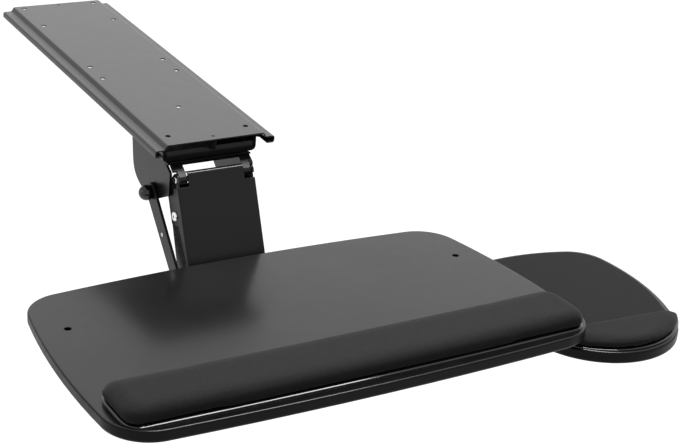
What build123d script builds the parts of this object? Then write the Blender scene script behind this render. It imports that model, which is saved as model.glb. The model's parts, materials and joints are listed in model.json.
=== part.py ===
from build123d import *
from math import acos, atan2, cos, hypot, radians, sin
import os

# Millimetres. The origin is the centre of the four corner screw holes, on the
# top face of the track. X is to the right, Y to the rear, Z up.

# Track, a formed steel strip with a raised middle and inward lips
track_length = 452.5
track_front = -233.5
track_sheet = 1.4
track_bend = 2.6
plate_half = 56.8
plate_step = 5
step_run = 3.2
track_half = 70.45
lip_drop = 13
lip_return = 9
hole_radius = 3
hole_column = 46
hole_rows = (-211, -37.5, 0.5, 145.5, 211)
vent_row = -139.5
front_stop_y = -225.3
rear_stop_y = 213.3

# End stops, rubber buffers held by a screw that ends in the track
stop_radius = 4
stop_bottom = 14
stop_screw_radius = 1.6
stop_head_radius = 2.9
stop_head_depth = 2
stop_hole_radius = 2.05
screw_tip_radius = 2

# General clearances
running_fit = 0.05
slide_gap = 0.1
seat_gap = 0.05

# Carriage pan, which hangs in the track between two nylon glides
pan_sheet = 2.4
pan_front = -221
pan_rear = -121.5
pan_half = 55.5
pan_floor = -25.6
pan_bend = 3
pan_edge = 1.1
wing_top = -7.8
wing_half = 66
front_wall_top = -14
wall_crown = 1.5
wall_crown_height = 8
wall_end = 4.5
glide_inner = 58
glide_half = 68.75
glide_corner = 1.2

# Swivel stack under the pan
swivel_y = -171.5
swivel_radius = 5
swivel_head_radius = 9
swivel_head_height = 4.5
swivel_washer_radius = 19
swivel_washer_thickness = 0.8
lower_washer_radius = 13
swivel_nut_flat = 8
swivel_nut_height = 6.4
swivel_thread_end = 1.6

# Swivel bracket, a plate with two cheeks and two rolled hinge tabs
bracket_top = -26.5
bracket_sheet = 2.8
bracket_half = 49.5
bracket_front = -220.8
bracket_rear = -128.5
bracket_bend = 2.2
cheek_corner = 4
cheek_front = (
    (-213.5, -28.5),
    (-227.5, -36),
    (-227.5, -62),
    (-201.5, -76.6),
)
cheek_curve = (
    (-178.5, -82.6),
    (-159.5, -80.4),
    (-139.5, -68.6),
    (-133.5, -51.6),
    (-130.5, -34.6),
)
tab_inner = 33.6
tab_outer = 42.6
tab_ring = 5.5
tab_root = 1.1
shoulder_share = 0.55
front_hem = 2

# Upper hinge of the arm
hinge_y = -232.7
hinge_z = -42
hinge_pin_radius = 3.25
hinge_pin_half = 46
pin_chamfer = 0.6

# Arm, drawn along its own axis: how far behind the hinge and how far down
arm_lean = 25.1
channel_half = 44.8
channel_sheet = 2
channel_front = -3.7
channel_rear = 21.5
channel_top = 3
channel_flare = 6
channel_side_end = 100
channel_ring = 7
web_top = 5
web_end = 112
tilt_behind = 9.5
tilt_along = 125
channel_foot = 14
cover_sheet = 1.4
cover_half = channel_half + cover_sheet
cover_front = -6
cover_top = -8
cover_end = 104
cover_bend = 2.2
cover_lip = 1.5
cover_roll = 4
cover_notch = 8.6
cover_middle = 33
cover_rear = 22
flange_cut = (
    (22, 46),
    (4.5, 50),
    (-1, 92),
    (-3, 104),
)
cover_screw_behind = 10
cover_screw_along = 38
button_radius = 5.3
button_height = 2.6
button_socket = 1.7
button_socket_depth = 1.5
cover_screw_radius = 2.4
cover_screw_end = 39.5

# Tilt pin at the foot of the arm, with what it carries
tilt_pin_radius = 4
tilt_head_radius = 7
tilt_head_height = 3.4
tilt_nut_flat = 6.5
tilt_nut_height = 6
tilt_pin_tip = 1.4
tilt_washer_thickness = 1.2
tilt_washer_radius = 8.4
ear_inner = 36
ear_sheet = 3
ear_washer_radius = 10
sleeve_radius = 6.5

# Release lever on the left side, with its ball knob
lever_inner = 50.5
lever_sheet = 3
lever_half = 10.5
lever_foot_half = 9
lever_top_y = -190.5
lever_top_z = -73
lever_edge = 0.5
spacer_radius = 8
knob_radius = 8.6
knob_standoff = 4.5
stud_radius = 2.5
stud_head_radius = 4.8
stud_head_depth = 1.4
stud_reach = 5.5
rivet_share = 0.595
rivet_radius = 1.5
rivet_head_radius = 2.3
rivet_head_height = 0.9

# Keyboard tray, in its own tilted plane: X right, W to the rear, Q up
tray_y = -444.7
tray_z = -103.0
tray_tilt = 3.32
tray_thickness = 12.8
tray_rear = 151.6
tray_rear_side = 139.7
tray_rear_half = 241
tray_mid_half = 260.2
tray_mid_w = 2
tray_front_half = 257.6
tray_front_side = -143.3
tray_front = -151.2
tray_rear_corner = 43.7
tray_front_corner = 46.7
tray_top_edge = 2
tray_bottom_edge = 4
pivot_inset = 36.6
pivot_w = 65
pivot_hole = 3.75
pivot_bore_depth = 7
pivot_radius = 2.5

# Tray head, a plate under the keyboard tray with two ears
head_sheet = 3
head_half = 70
head_front = 10
head_rear = 140
head_corner = 10
head_screw_x = 56
head_screw_rows = (24, 75, 126)
head_screw_radius = 2
head_screw_depth = 7.5
pan_head_radius = 4
pan_head_height = 2.4
ear_ring = 11
ear_rear_top = 33
ear_front_top = 100
ear_front_run = 70
ear_front_rise = 14

# Palm rest of the keyboard tray
palm_half = 250
palm_front = -139.3
palm_front_side = -134.3
palm_rear = -65.5
palm_rear_side = -62
palm_corner = 25
palm_base_thickness = 1
palm_sections = (
    (0, 1.6),
    (4.5, 0),
    (10, 2.6),
    (14.4, 8.5),
    (17, 18),
)
palm_corner_share = 0.45

# Mouse tray, in the plane of the keyboard tray and below it
mouse_top = -28
mouse_lead = 6.7
mouse_w = -28.7
mouse_yaw = 4.3
mouse_rear_half = 87.1
mouse_mid_swell = 11.2
mouse_mid = 14.4
mouse_front_taper = 2.9
mouse_rear = 121.4
mouse_rear_side = 105.7
mouse_front = -127.8
mouse_front_side = -59.5
mouse_thickness = 13
mouse_rear_corner = 43.9
mouse_front_corner = 23.8
mouse_edge = 3
mat_inset = 6
mat_thickness = 1
mat_gap = 1.5
mouse_palm_chord = -69
mouse_palm_half = 84
mouse_palm_inset = 4.8
mouse_palm_corner = 16
mouse_palm_base_thickness = 1
mouse_palm_sections = (
    (0, 1),
    (3, 0),
    (6.6, 1.9),
    (9.4, 6),
    (11, 13),
)

# Mounting of the mouse tray: a spacer tube, a flat bar and a lock nut
spacer_tube_radius = 7
bar_sheet = 3
bar_half = 19
bar_end_back = 9
bar_screw_shares = (0.46, 0.66, 0.86)
bar_screw_offset = 11
bar_screw_depth = 8
pivot_washer_radius = 8
pivot_washer_thickness = 1
pivot_nut_flat = 4
pivot_nut_height = 5
pivot_head_radius = 3.6
pivot_head_height = 4
pivot_tip = 1

lean_cos = cos(radians(arm_lean))
lean_sin = sin(radians(arm_lean))
tilt_cos = cos(radians(tray_tilt))
tilt_sin = sin(radians(tray_tilt))
yaw_cos = cos(radians(mouse_yaw))
yaw_sin = sin(radians(mouse_yaw))

# Pivot of the mouse tray, in from the tray's right side
pivot_x = tray_mid_half - pivot_inset

# Centre of the tilt pin, in space and in the axes of the keyboard tray
pin_y = hinge_y + tilt_behind * lean_cos - tilt_along * lean_sin
pin_z = hinge_z - tilt_behind * lean_sin - tilt_along * lean_cos
pin_q = (pin_y - tray_y) * tilt_sin + (pin_z - tray_z) * tilt_cos

# Levels below the pan, from the top down
pan_web = pan_floor + pan_sheet
bracket_floor = bracket_top - bracket_sheet
lower_washer_top = bracket_floor - slide_gap
swivel_nut_top = lower_washer_top - swivel_washer_thickness
swivel_bolt_end = swivel_nut_top - swivel_nut_height - swivel_thread_end
swivel_point = ((0, swivel_y),)

# Levels below the keyboard tray, from the top down
head_floor = -tray_thickness - head_sheet
mouse_floor = mouse_top - mouse_thickness
bar_floor = mouse_floor - bar_sheet
pivot_nut_top = bar_floor - slide_gap - pivot_washer_thickness
pivot_end = pivot_nut_top - pivot_nut_height - pivot_tip
pivot_point = ((pivot_x, pivot_w),)

# Stations along the tilt pin
channel_inner = channel_half - channel_sheet
ear_outer = ear_inner + ear_sheet
lever_outer = lever_inner + lever_sheet
tilt_washer_inner = lever_outer + slide_gap
tilt_head_inner = tilt_washer_inner + tilt_washer_thickness
tilt_nut_inner = channel_half + tilt_washer_thickness
tilt_pin_right = tilt_nut_inner + tilt_nut_height + tilt_pin_tip
tilt_point = ((tilt_behind, -tilt_along),)
cover_screw_point = ((cover_screw_behind, -cover_screw_along),)

# Lever, from the tilt pin to the centre of its upper end
lever_run = lever_top_y - pin_y
lever_rise = lever_top_z - pin_z
knob_point = ((lever_run, lever_rise),)
rivet_point = ((lever_run * rivet_share, lever_rise * rivet_share),)
stud_end = lever_outer + stud_reach

# Centre of the mouse tray, out from the pivot, and the bar that reaches it
mouse_x = pivot_x + mouse_lead + mouse_rear_half
mouse_mid_half = mouse_rear_half + mouse_mid_swell
mouse_front_half = mouse_rear_half - mouse_front_taper
bar_end = (mouse_x, mouse_w - bar_end_back)
bar_run = bar_end[0] - pivot_x
bar_rise = bar_end[1] - pivot_w
bar_length = hypot(bar_run, bar_rise)
bar_screw_points = [
    (
        pivot_x + share * bar_run - side * bar_screw_offset * bar_rise / bar_length,
        pivot_w + share * bar_rise + side * bar_screw_offset * bar_run / bar_length,
    )
    for share in bar_screw_shares
    for side in (-1, 1)
]
head_screw_points = [(x, w) for x in (-head_screw_x, head_screw_x) for w in head_screw_rows]
stop_points = ((0, front_stop_y), (0, rear_stop_y))
pivot_points = ((-pivot_x, pivot_w), (pivot_x, pivot_w))
hinge_point = ((hinge_y, hinge_z),)
centre = ((0, 0),)
tray_axis = Axis((0, 0, 0), (0, tilt_sin, tilt_cos))


def tray_plane(q):
    # Plane of the keyboard tray, raised by q from its top face
    return Plane(
        origin=(0, tray_y + q * tilt_sin, tray_z + q * tilt_cos),
        x_dir=(1, 0, 0),
        z_dir=(0, tilt_sin, tilt_cos),
    )


def mouse_plane(q):
    # Plane of the mouse tray, about the middle of the mouse tray
    return Plane(
        origin=(
            mouse_x,
            tray_y + q * tilt_sin + mouse_w * tilt_cos,
            tray_z + q * tilt_cos - mouse_w * tilt_sin,
        ),
        x_dir=(yaw_cos, -yaw_sin * tilt_cos, yaw_sin * tilt_sin),
        z_dir=(0, tilt_sin, tilt_cos),
    )


def arm_plane(x):
    # Side plane of the arm: first axis behind the hinge, second axis up the arm
    return Plane(
        origin=(x, hinge_y, hinge_z),
        x_dir=(0, lean_cos, -lean_sin),
        z_dir=(1, 0, 0),
    )


def arm_section(along):
    # Plane square to the arm, at a distance down from the hinge
    return Plane(
        origin=(0, hinge_y - along * lean_sin, hinge_z - along * lean_cos),
        x_dir=(1, 0, 0),
        z_dir=(0, lean_sin, lean_cos),
    )


def head_plane(x):
    # Side plane of the tray head, about the tilt pin
    return Plane(
        origin=(x, pin_y, pin_z),
        x_dir=(0, tilt_cos, -tilt_sin),
        z_dir=(1, 0, 0),
    )


def pin_plane(x):
    # Level side plane about the tilt pin
    return Plane(origin=(x, pin_y, pin_z), x_dir=(0, 1, 0), z_dir=(1, 0, 0))


def discs(plane, points, radius, thickness, mode=Mode.ADD):
    # Round plates, rods or round holes at the points of a plane
    with BuildSketch(plane) as outline:
        with Locations(*points):
            Circle(radius)
    extrude(outline.sketch, amount=thickness, mode=mode)


def rings(plane, points, radius, bore, thickness):
    # Washers or tubes at the points of a plane
    with BuildSketch(plane) as outline:
        with Locations(*points):
            Circle(radius)
            Circle(bore, mode=Mode.SUBTRACT)
    extrude(outline.sketch, amount=thickness)


def hexagons(plane, points, half_flat, thickness, mode=Mode.ADD):
    # Hexagonal nuts or sockets at the points of a plane
    with BuildSketch(plane) as outline:
        with Locations(*points):
            RegularPolygon(half_flat, 6, major_radius=False)
    extrude(outline.sketch, amount=thickness, mode=mode)


def mouse_outline(inset):
    # Outline of the mouse tray, with bowed edges and rounded corners
    rear_half = mouse_rear_half - inset
    mid_half = mouse_mid_half - inset
    front_half = mouse_front_half - inset
    rear_side = mouse_rear_side - inset
    front_side = mouse_front_side + inset
    with BuildLine() as outline:
        ThreePointArc(
            (-rear_half, rear_side),
            (0, mouse_rear - inset),
            (rear_half, rear_side),
        )
        ThreePointArc(
            (rear_half, rear_side),
            (mid_half, mouse_mid),
            (front_half, front_side),
        )
        ThreePointArc(
            (front_half, front_side),
            (0, mouse_front + inset),
            (-front_half, front_side),
        )
        ThreePointArc(
            (-front_half, front_side),
            (-mid_half, mouse_mid),
            (-rear_half, rear_side),
        )
    make_face(outline.line.edges())
    fillet(vertices().group_by(Axis.Y)[-1], radius=mouse_rear_corner - inset)
    fillet(vertices().group_by(Axis.Y)[0], radius=mouse_front_corner - inset)


def mouse_palm(inset):
    # Outline of the small palm rest: a straight rear edge and a round front
    half = mouse_palm_half - inset
    with BuildLine() as outline:
        Line((-half, mouse_palm_chord - inset), (half, mouse_palm_chord - inset))
        ThreePointArc(
            (half, mouse_palm_chord - inset),
            (0, mouse_front + mouse_palm_inset + inset),
            (-half, mouse_palm_chord - inset),
        )
    make_face(outline.line.edges())
    fillet(vertices(), radius=mouse_palm_corner - palm_corner_share * inset)


def palm_outline(inset):
    # Outline of the large palm rest, its long sides bowed to the front
    half = palm_half - inset
    with BuildLine() as outline:
        ThreePointArc(
            (-half, palm_rear_side - inset),
            (0, palm_rear - inset),
            (half, palm_rear_side - inset),
        )
        Line((half, palm_rear_side - inset), (half, palm_front_side + inset))
        ThreePointArc(
            (half, palm_front_side + inset),
            (0, palm_front + inset),
            (-half, palm_front_side + inset),
        )
        Line((-half, palm_front_side + inset), (-half, palm_rear_side - inset))
    make_face(outline.line.edges())
    fillet(vertices(), radius=palm_corner - palm_corner_share * inset)


# Track
with BuildPart() as track:
    with BuildSketch(Plane.XZ.offset(-track_front)):
        with BuildLine():
            FilletPolyline(
                (-track_half + lip_return, -lip_drop),
                (-track_half, -lip_drop),
                (-track_half, -plate_step),
                (-plate_half - step_run, -plate_step),
                (-plate_half, 0),
                (plate_half, 0),
                (plate_half + step_run, -plate_step),
                (track_half, -plate_step),
                (track_half, -lip_drop),
                (track_half - lip_return, -lip_drop),
                radius=track_bend,
            )
            offset(amount=track_sheet, side=Side.RIGHT)
        make_face()
    extrude(amount=-track_length)
    with Locations(*[(x, y) for x in (-hole_column, hole_column) for y in hole_rows]):
        Hole(hole_radius)
    with Locations((0, vent_row)):
        Hole(hole_radius)
    with Locations(*stop_points):
        Hole(stop_hole_radius)

# End stops
with BuildPart() as track_stops:
    rings(
        Plane.XY.offset(-stop_bottom),
        stop_points,
        stop_radius,
        stop_screw_radius + seat_gap,
        stop_bottom - track_sheet,
    )
    discs(
        Plane.XY.offset(-stop_bottom),
        stop_points,
        stop_head_radius + seat_gap,
        stop_head_depth,
        Mode.SUBTRACT,
    )

with BuildPart() as stop_screws:
    discs(
        Plane.XY.offset(-stop_bottom + seat_gap),
        stop_points,
        stop_head_radius,
        stop_head_depth - seat_gap,
    )
    discs(
        Plane.XY.offset(-stop_bottom + stop_head_depth),
        stop_points,
        stop_screw_radius,
        stop_bottom - stop_head_depth - track_sheet,
    )
    discs(
        Plane.XY.offset(-track_sheet),
        stop_points,
        screw_tip_radius,
        track_sheet - slide_gap,
    )
    hexagons(
        Plane.XY.offset(-stop_bottom + seat_gap),
        stop_points,
        stop_screw_radius,
        stop_head_depth / 2,
        Mode.SUBTRACT,
    )

# Carriage pan
with BuildPart() as carriage_pan:
    with BuildSketch(Plane.XZ.offset(-pan_front)):
        with Locations((0, front_wall_top)):
            Rectangle(
                2 * pan_half,
                front_wall_top - pan_floor,
                align=(Align.CENTER, Align.MAX),
            )
        fillet(vertices().group_by(Axis.Y)[0], radius=pan_bend + pan_sheet)
    extrude(amount=-pan_sheet)
    fillet(faces().sort_by(Axis.Y)[0].edges(), radius=pan_edge)
    with BuildSketch(Plane.YZ.offset(wall_end - pan_half)):
        with BuildLine():
            TangentArc(
                (pan_front, front_wall_top - wall_crown_height),
                (pan_front + wall_crown, front_wall_top),
                tangent=(0, 1),
            )
            Polyline(
                (pan_front + wall_crown, front_wall_top),
                (pan_front, front_wall_top),
                (pan_front, front_wall_top - wall_crown_height),
            )
        make_face()
    extrude(amount=2 * (pan_half - wall_end), mode=Mode.SUBTRACT)
    with BuildSketch(Plane.XZ.offset(-pan_front - pan_edge)):
        with BuildLine():
            FilletPolyline(
                (-wing_half, wing_top),
                (-pan_half + pan_sheet, wing_top),
                (-pan_half + pan_sheet, pan_web),
                (pan_half - pan_sheet, pan_web),
                (pan_half - pan_sheet, wing_top),
                (wing_half, wing_top),
                radius=pan_bend,
            )
            offset(amount=pan_sheet, side=Side.RIGHT)
        make_face()
    extrude(amount=pan_front + pan_edge - pan_rear)
    with BuildSketch(Plane.XZ.offset(-pan_rear)):
        with Locations((0, front_wall_top)):
            Rectangle(
                2 * pan_half,
                front_wall_top - pan_floor,
                align=(Align.CENTER, Align.MAX),
            )
        fillet(vertices().group_by(Axis.Y)[0], radius=pan_bend + pan_sheet)
    extrude(amount=pan_sheet)
    discs(
        Plane.XY.offset(pan_floor),
        swivel_point,
        swivel_radius + seat_gap,
        pan_sheet,
        Mode.SUBTRACT,
    )

glide_top = -plate_step - track_sheet - slide_gap
glide_bottom = -lip_drop + track_sheet + slide_gap
with BuildPart() as carriage_glides:
    with BuildSketch(Plane.XZ.offset(-pan_front - pan_sheet)):
        with Locations((glide_inner, glide_top)):
            Rectangle(
                glide_half - glide_inner,
                glide_top - glide_bottom,
                align=(Align.MIN, Align.MAX),
            )
        fillet(vertices().group_by(Axis.X)[-1], radius=glide_corner)
        with Locations((wing_half, wing_top)):
            Rectangle(
                wing_half - glide_inner,
                pan_sheet,
                align=(Align.MAX, Align.MAX),
                mode=Mode.SUBTRACT,
            )
    extrude(amount=pan_front + pan_sheet - pan_rear)
    mirror(about=Plane.YZ)

# Swivel stack
with BuildPart() as swivel_bolt:
    discs(Plane.XY.offset(pan_web), swivel_point, swivel_head_radius, swivel_head_height)
    fillet(edges().group_by(Axis.Z)[-1], radius=swivel_head_height / 3)
    discs(
        Plane.XY.offset(swivel_bolt_end),
        swivel_point,
        swivel_radius,
        pan_web - swivel_bolt_end,
    )
    chamfer(edges().group_by(Axis.Z)[0], length=pin_chamfer)

with BuildPart() as swivel_washers:
    rings(
        Plane.XY.offset(pan_floor),
        swivel_point,
        swivel_washer_radius,
        swivel_radius + seat_gap,
        -swivel_washer_thickness,
    )
    rings(
        Plane.XY.offset(lower_washer_top),
        swivel_point,
        lower_washer_radius,
        swivel_radius + seat_gap,
        -swivel_washer_thickness,
    )

with BuildPart() as swivel_nut:
    hexagons(
        Plane.XY.offset(swivel_nut_top),
        swivel_point,
        swivel_nut_flat,
        -swivel_nut_height,
    )
    discs(
        Plane.XY.offset(swivel_nut_top),
        swivel_point,
        swivel_radius + seat_gap,
        -swivel_nut_height,
        Mode.SUBTRACT,
    )

# Swivel bracket
root_y = bracket_front + tab_root
root_z = bracket_top - bracket_sheet / 2
strap_half = bracket_sheet / 2
roll_radius = tab_ring - strap_half
root_bearing = atan2(root_z - hinge_z, root_y - hinge_y)
roll_bearing = root_bearing + acos(roll_radius / hypot(root_y - hinge_y, root_z - hinge_z))
roll_point = (
    hinge_y + roll_radius * cos(roll_bearing),
    hinge_z + roll_radius * sin(roll_bearing),
)
shoulder_point = (
    root_y + shoulder_share * (roll_point[0] - root_y),
    root_z + shoulder_share * (roll_point[1] - root_z),
)
cheek_rear = cheek_curve[-1]
with BuildPart() as swivel_bracket:
    with BuildSketch(Plane.YZ.offset(bracket_half - bracket_sheet)):
        with BuildLine():
            Polyline(
                (cheek_rear[0], bracket_top),
                (cheek_front[0][0], bracket_top),
                *cheek_front,
            )
            Spline(cheek_front[-1], *cheek_curve)
            Line(cheek_rear, (cheek_rear[0], bracket_top))
        make_face()
        fillet(vertices().group_by(Axis.X)[0], radius=cheek_corner)
    extrude(amount=bracket_sheet)
    with BuildSketch(Plane.YZ.offset(tab_inner)):
        with Locations((root_y, root_z), roll_point):
            Circle(strap_half)
        make_hull()
        with Locations(*hinge_point):
            Circle(tab_ring)
    extrude(amount=tab_outer - tab_inner)
    with BuildSketch(Plane.YZ.offset(tab_outer)):
        with Locations((root_y, root_z), shoulder_point):
            Circle(strap_half)
        make_hull()
    extrude(amount=bracket_half - bracket_sheet - tab_outer)
    mirror(about=Plane.YZ)
    with BuildSketch(Plane.XY.offset(bracket_floor - front_hem)):
        with Locations((0, bracket_front)):
            Rectangle(
                2 * tab_inner,
                bracket_sheet,
                align=(Align.CENTER, Align.MIN),
            )
    extrude(amount=front_hem)
    with BuildSketch(Plane.XY.offset(bracket_floor)):
        with Locations((0, bracket_front)):
            Rectangle(
                2 * bracket_half,
                bracket_rear - bracket_front,
                align=(Align.CENTER, Align.MIN),
            )
    extrude(amount=bracket_sheet)
    for side in (-bracket_half, bracket_half):
        bends = edges().filter_by_position(Axis.X, side - seat_gap, side + seat_gap)
        fillet(bends.filter_by(Axis.Y).group_by(Axis.Z)[-1], radius=bracket_bend)
    discs(
        Plane.YZ.offset(-tab_outer),
        hinge_point,
        hinge_pin_radius + seat_gap,
        2 * tab_outer,
        Mode.SUBTRACT,
    )
    discs(
        Plane.XY.offset(bracket_floor),
        swivel_point,
        swivel_radius + running_fit,
        bracket_sheet,
        Mode.SUBTRACT,
    )

with BuildPart() as hinge_pin:
    discs(Plane.YZ.offset(-hinge_pin_half), hinge_point, hinge_pin_radius, 2 * hinge_pin_half)
    chamfer(edges().group_by(Axis.X)[0], length=pin_chamfer)
    chamfer(edges().group_by(Axis.X)[-1], length=pin_chamfer)

# Arm channel
reach = channel_side_end + tilt_along
web_front = channel_rear - channel_sheet
web_slope = -channel_flare / (channel_side_end - channel_top)
with BuildPart() as arm_channel:
    with BuildSketch(arm_plane(-channel_half)):
        Circle(channel_ring)
        with BuildLine():
            Polyline(
                (channel_front, -channel_top),
                (channel_rear, -channel_top),
                (channel_rear + channel_flare, -channel_side_end),
                (channel_front, -channel_side_end),
                close=True,
            )
        make_face()
        with Locations(*tilt_point):
            Circle(channel_foot)
        make_hull()
        with Locations((channel_front, -channel_top)):
            Rectangle(
                channel_ring,
                cover_end + seat_gap - channel_top,
                align=(Align.MAX, Align.MAX),
                mode=Mode.SUBTRACT,
            )
    extrude(amount=2 * channel_half)
    with BuildSketch(arm_plane(-channel_inner)):
        with BuildLine():
            Polyline(
                (-reach, reach),
                (web_front + web_slope * (reach - channel_top), reach),
                (web_front - web_slope * (reach - channel_top), -reach),
                (-reach, -reach),
                close=True,
            )
        make_face()
        with Locations((0, -web_top)):
            Rectangle(reach, reach, align=(Align.CENTER, Align.MIN))
        with Locations((0, -web_end)):
            Rectangle(reach, reach, align=(Align.CENTER, Align.MAX))
    extrude(amount=2 * channel_inner, mode=Mode.SUBTRACT)
    discs(
        arm_plane(-channel_half),
        centre,
        hinge_pin_radius + running_fit,
        2 * channel_half,
        Mode.SUBTRACT,
    )
    discs(
        arm_plane(-channel_half),
        tilt_point,
        tilt_pin_radius + seat_gap,
        2 * channel_half,
        Mode.SUBTRACT,
    )
    discs(
        arm_plane(-channel_half),
        cover_screw_point,
        cover_screw_radius + seat_gap,
        2 * channel_half,
        Mode.SUBTRACT,
    )

# Arm cover
with BuildPart() as arm_cover:
    with BuildSketch(arm_section(cover_notch)):
        with BuildLine():
            FilletPolyline(
                (-cover_half, cover_rear),
                (-cover_half, cover_front),
                (cover_half, cover_front),
                (cover_half, cover_rear),
                radius=cover_bend,
            )
            offset(amount=cover_sheet, side=Side.LEFT)
        make_face()
    extrude(amount=cover_notch - cover_end)
    with BuildSketch(arm_plane(-cover_half)):
        with BuildLine():
            Polyline(
                (cover_rear + cover_sheet, -flange_cut[0][1]),
                *[(behind, -along) for behind, along in flange_cut],
                (cover_rear + cover_sheet, -cover_end - cover_sheet),
                close=True,
            )
        make_face()
    extrude(amount=2 * cover_half, mode=Mode.SUBTRACT)
    with BuildSketch(arm_plane(-cover_middle)):
        with BuildLine():
            FilletPolyline(
                (cover_front, -2 * cover_notch),
                (cover_front, -cover_top),
                (cover_lip, -cover_top),
                radius=cover_roll,
            )
            offset(amount=cover_sheet, side=Side.RIGHT)
        make_face()
    extrude(amount=2 * cover_middle)
    discs(
        arm_plane(-cover_half),
        cover_screw_point,
        cover_screw_radius + seat_gap,
        2 * cover_half,
        Mode.SUBTRACT,
    )

with BuildPart() as cover_screws:
    discs(arm_plane(cover_half), cover_screw_point, button_radius, button_height)
    fillet(edges().group_by(Axis.X)[-1], radius=button_height * 2 / 3)
    discs(
        arm_plane(cover_screw_end),
        cover_screw_point,
        cover_screw_radius,
        cover_half - cover_screw_end,
    )
    hexagons(
        arm_plane(cover_half + button_height),
        cover_screw_point,
        button_socket,
        -button_socket_depth,
        Mode.SUBTRACT,
    )
    mirror(about=Plane.YZ)

# Tilt pin and the pieces on it
with BuildPart() as tilt_pin:
    discs(pin_plane(-tilt_head_inner), centre, tilt_head_radius, -tilt_head_height)
    fillet(edges().group_by(Axis.X)[0], radius=tilt_head_height / 2)
    discs(
        pin_plane(-tilt_head_inner),
        centre,
        tilt_pin_radius,
        tilt_head_inner + tilt_pin_right,
    )
    chamfer(edges().group_by(Axis.X)[-1], length=pin_chamfer)

with BuildPart() as tilt_nut:
    hexagons(pin_plane(tilt_nut_inner), centre, tilt_nut_flat, tilt_nut_height)
    discs(
        pin_plane(tilt_nut_inner),
        centre,
        tilt_pin_radius + seat_gap,
        tilt_nut_height,
        Mode.SUBTRACT,
    )

with BuildPart() as tilt_washers:
    for x in (-tilt_head_inner, channel_half):
        rings(
            pin_plane(x),
            centre,
            tilt_washer_radius,
            tilt_pin_radius + seat_gap,
            tilt_washer_thickness,
        )

with BuildPart() as ear_washers:
    for x in (-channel_inner, ear_outer + slide_gap):
        rings(
            pin_plane(x),
            centre,
            ear_washer_radius,
            tilt_pin_radius + seat_gap,
            channel_inner - ear_outer - slide_gap,
        )

with BuildPart() as lever_spacer:
    rings(
        pin_plane(-channel_half),
        centre,
        spacer_radius,
        tilt_pin_radius + seat_gap,
        channel_half - lever_inner + slide_gap,
    )

with BuildPart() as tilt_sleeve:
    rings(
        pin_plane(-ear_inner),
        centre,
        sleeve_radius,
        tilt_pin_radius + running_fit,
        2 * ear_inner,
    )

# Release lever
with BuildPart() as release_lever:
    with BuildSketch(pin_plane(-lever_outer)):
        Circle(lever_foot_half)
        with Locations(*knob_point):
            Circle(lever_half)
        make_hull()
    extrude(amount=lever_sheet)
    chamfer(faces().sort_by(Axis.X)[0].edges(), length=lever_edge)
    discs(
        pin_plane(-lever_outer),
        centre,
        tilt_pin_radius + running_fit,
        lever_sheet,
        Mode.SUBTRACT,
    )
    discs(
        pin_plane(-lever_outer),
        knob_point,
        stud_radius + seat_gap,
        lever_sheet,
        Mode.SUBTRACT,
    )
    discs(
        pin_plane(-lever_inner),
        knob_point,
        stud_head_radius + seat_gap,
        -stud_head_depth,
        Mode.SUBTRACT,
    )
    discs(
        pin_plane(-lever_outer),
        rivet_point,
        rivet_radius + seat_gap,
        lever_sheet,
        Mode.SUBTRACT,
    )

with BuildPart() as knob_stud:
    discs(pin_plane(-lever_inner), knob_point, stud_head_radius, -stud_head_depth)
    discs(
        pin_plane(-lever_inner - stud_head_depth),
        knob_point,
        stud_radius,
        lever_inner + stud_head_depth - stud_end,
    )

with BuildPart() as ball_knob:
    with BuildSketch(
        Plane(
            origin=(-lever_outer, lever_top_y, lever_top_z),
            x_dir=(-1, 0, 0),
            z_dir=(0, 0, 1),
        )
    ):
        with Locations((knob_standoff, 0)):
            Circle(knob_radius)
        Rectangle(
            knob_standoff + knob_radius,
            knob_radius,
            align=(Align.MIN, Align.MIN),
            mode=Mode.INTERSECT,
        )
        Rectangle(
            stud_reach + seat_gap,
            stud_radius + seat_gap,
            align=(Align.MIN, Align.MIN),
            mode=Mode.SUBTRACT,
        )
    revolve(axis=Axis((-lever_outer, lever_top_y, lever_top_z), (1, 0, 0)))

with BuildPart() as lever_rivet:
    discs(pin_plane(-lever_outer), rivet_point, rivet_head_radius, -rivet_head_height)
    fillet(edges().group_by(Axis.X)[0], radius=rivet_head_height * 2 / 3)
    discs(pin_plane(-lever_outer), rivet_point, rivet_radius, lever_sheet)

# Tray head
ear_top = head_floor - pin_q
with BuildPart() as tray_head:
    with BuildSketch(head_plane(ear_inner)):
        Circle(ear_ring)
        with BuildLine():
            Polyline(
                (-ear_rear_top, ear_top),
                (-ear_front_top, ear_top),
                (-ear_front_run, ear_front_rise),
                close=True,
            )
        make_face()
        make_hull()
    extrude(amount=ear_sheet)
    mirror(about=Plane.YZ)
    with BuildSketch(tray_plane(head_floor)):
        with Locations((0, head_front)):
            Rectangle(
                2 * head_half,
                head_rear - head_front,
                align=(Align.CENTER, Align.MIN),
            )
        fillet(vertices(), radius=head_corner)
    extrude(amount=head_sheet)
    discs(
        tray_plane(head_floor),
        head_screw_points,
        head_screw_radius + seat_gap,
        head_sheet,
        Mode.SUBTRACT,
    )
    discs(
        head_plane(-ear_outer),
        centre,
        tilt_pin_radius + running_fit,
        2 * ear_outer,
        Mode.SUBTRACT,
    )

with BuildPart() as head_screws:
    discs(tray_plane(head_floor), head_screw_points, pan_head_radius, -pan_head_height)
    fillet(edges().group_by(tray_axis)[0], radius=pan_head_height / 2)
    discs(
        tray_plane(head_floor),
        head_screw_points,
        head_screw_radius,
        head_sheet + head_screw_depth,
    )

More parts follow.
